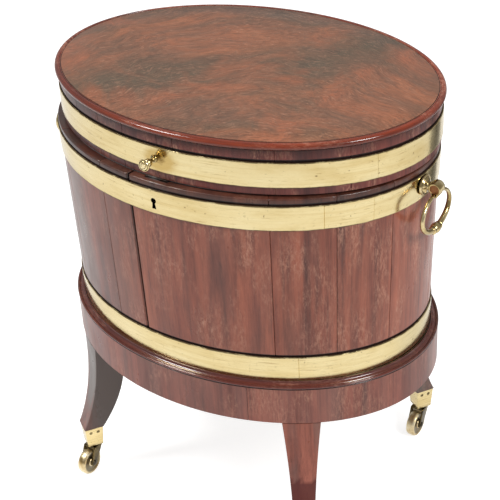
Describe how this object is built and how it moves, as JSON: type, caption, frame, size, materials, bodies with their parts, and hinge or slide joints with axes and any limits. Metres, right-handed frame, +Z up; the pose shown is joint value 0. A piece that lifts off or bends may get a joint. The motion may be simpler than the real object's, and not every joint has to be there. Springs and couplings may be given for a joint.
{
  "type": "cellarette",
  "caption": "Oval coopered wine cooler with brass bands, a hinged lid and ring handles, on a stand with splayed legs and castors.",
  "frame": {"origin": "on the floor, under the middle of the whole object", "axes": "+Z up, -Y towards the front with the knob and keyhole, X along the long way"},
  "size_m": [0.6516, 0.4668, 0.697],
  "materials": {
    "mahogany": "french-polished mahogany, worn to grey brown in places",
    "flame_mahogany": "polished flame-figured mahogany",
    "deal": "raw softwood",
    "band_brass": "lacquered brass with fine scratches",
    "aged_brass": "polished brass, darker in its hollows",
    "lead": "dull sheet lead",
    "steel": "aged steel"
  },
  "bodies": {
    "stand": {"apron_front_right": "mahogany", "apron_right_rear": "mahogany", "apron_rear_left": "mahogany", "apron_left_front": "mahogany", "rim_moulding": "mahogany", "bearer_left": "deal", "bearer_right": "deal", "leg_front_left": "mahogany", "leg_front_right": "mahogany", "leg_rear_right": "mahogany", "leg_rear_left": "mahogany", "cap_front_left": "band_brass", "cap_front_right": "band_brass", "cap_rear_right": "band_brass", "cap_rear_left": "band_brass"},
    "cooler": {"stave_01": "mahogany", "stave_02": "mahogany", "stave_03": "mahogany", "stave_04": "mahogany", "stave_05": "mahogany", "stave_06": "mahogany", "stave_07": "mahogany", "stave_08": "mahogany", "stave_09": "mahogany", "stave_10": "mahogany", "stave_11": "mahogany", "stave_12": "mahogany", "stave_13": "mahogany", "stave_14": "mahogany", "bottom_board": "deal", "lead_liner": "lead", "upper_band": "band_brass", "lower_band": "band_brass", "lock_case": "steel", "handle_mount_left": "aged_brass", "handle_mount_right": "aged_brass", "hinge_body_leaf_left": "aged_brass", "hinge_body_leaf_right": "aged_brass"},
    "lid": {"lid_side": "mahogany", "lid_band": "band_brass", "lid_top": "flame_mahogany", "lock_strike": "steel", "lid_knob": "aged_brass", "hinge_lid_leaf_left": "aged_brass", "hinge_lid_leaf_right": "aged_brass"},
    "bolt": {"lock_bolt": "steel"},
    "handle_left": {"handle_ring_left": "aged_brass"},
    "handle_right": {"handle_ring_right": "aged_brass"},
    "castor_front_left": {"castor_fork_front_left": "aged_brass", "castor_axle_front_left": "steel"},
    "wheel_front_left": {"castor_wheel_front_left": "band_brass"},
    "castor_front_right": {"castor_fork_front_right": "aged_brass", "castor_axle_front_right": "steel"},
    "wheel_front_right": {"castor_wheel_front_right": "band_brass"},
    "castor_rear_right": {"castor_fork_rear_right": "aged_brass", "castor_axle_rear_right": "steel"},
    "wheel_rear_right": {"castor_wheel_rear_right": "band_brass"},
    "castor_rear_left": {"castor_fork_rear_left": "aged_brass", "castor_axle_rear_left": "steel"},
    "wheel_rear_left": {"castor_wheel_rear_left": "band_brass"}
  },
  "joints": [
    {"name": "cooler_lift", "type": "slide", "parent": "stand", "child": "cooler", "axis": [0, 0, 1], "range_m": [0, 0.15]},
    {"name": "lid_hinge", "type": "hinge", "parent": "cooler", "child": "lid", "pos_m": [0, 0.2296, 0.62012], "axis": [-1, 0, 0], "range_deg": [0, 100]},
    {"name": "bolt_throw", "type": "slide", "parent": "cooler", "child": "bolt", "axis": [0, 0, 1], "range_m": [0, 0.009]},
    {"name": "handle_right_swing", "type": "hinge", "parent": "cooler", "child": "handle_right", "pos_m": [0.31651, -0.0066, 0.58352], "axis": [0, -1, 0], "range_deg": [-14, 110]},
    {"name": "handle_left_swing", "type": "hinge", "parent": "cooler", "child": "handle_left", "pos_m": [-0.31651, -0.0066, 0.58352], "axis": [0, 1, 0], "range_deg": [-14, 110]},
    {"name": "castor_front_left_swivel", "type": "hinge", "parent": "stand", "child": "castor_front_left", "pos_m": [-0.21325, -0.17157, 0.06], "axis": [0, 0, 1], "continuous": true},
    {"name": "wheel_front_left_spin", "type": "hinge", "parent": "castor_front_left", "child": "wheel_front_left", "pos_m": [-0.21325, -0.18857, 0.02222], "axis": [1, 0, 0], "continuous": true},
    {"name": "castor_front_right_swivel", "type": "hinge", "parent": "stand", "child": "castor_front_right", "pos_m": [0.19962, -0.18048, 0.06], "axis": [0, 0, 1], "continuous": true},
    {"name": "wheel_front_right_spin", "type": "hinge", "parent": "castor_front_right", "child": "wheel_front_right", "pos_m": [0.19962, -0.19748, 0.02222], "axis": [1, 0, 0], "continuous": true},
    {"name": "castor_rear_right_swivel", "type": "hinge", "parent": "stand", "child": "castor_rear_right", "pos_m": [0.20507, 0.18384, 0.06], "axis": [0, 0, 1], "continuous": true},
    {"name": "wheel_rear_right_spin", "type": "hinge", "parent": "castor_rear_right", "child": "wheel_rear_right", "pos_m": [0.20507, 0.16684, 0.02222], "axis": [1, 0, 0], "continuous": true},
    {"name": "castor_rear_left_swivel", "type": "hinge", "parent": "stand", "child": "castor_rear_left", "pos_m": [-0.20507, 0.18384, 0.06], "axis": [0, 0, 1], "continuous": true},
    {"name": "wheel_rear_left_spin", "type": "hinge", "parent": "castor_rear_left", "child": "wheel_rear_left", "pos_m": [-0.20507, 0.16684, 0.02222], "axis": [1, 0, 0], "continuous": true}
  ]
}
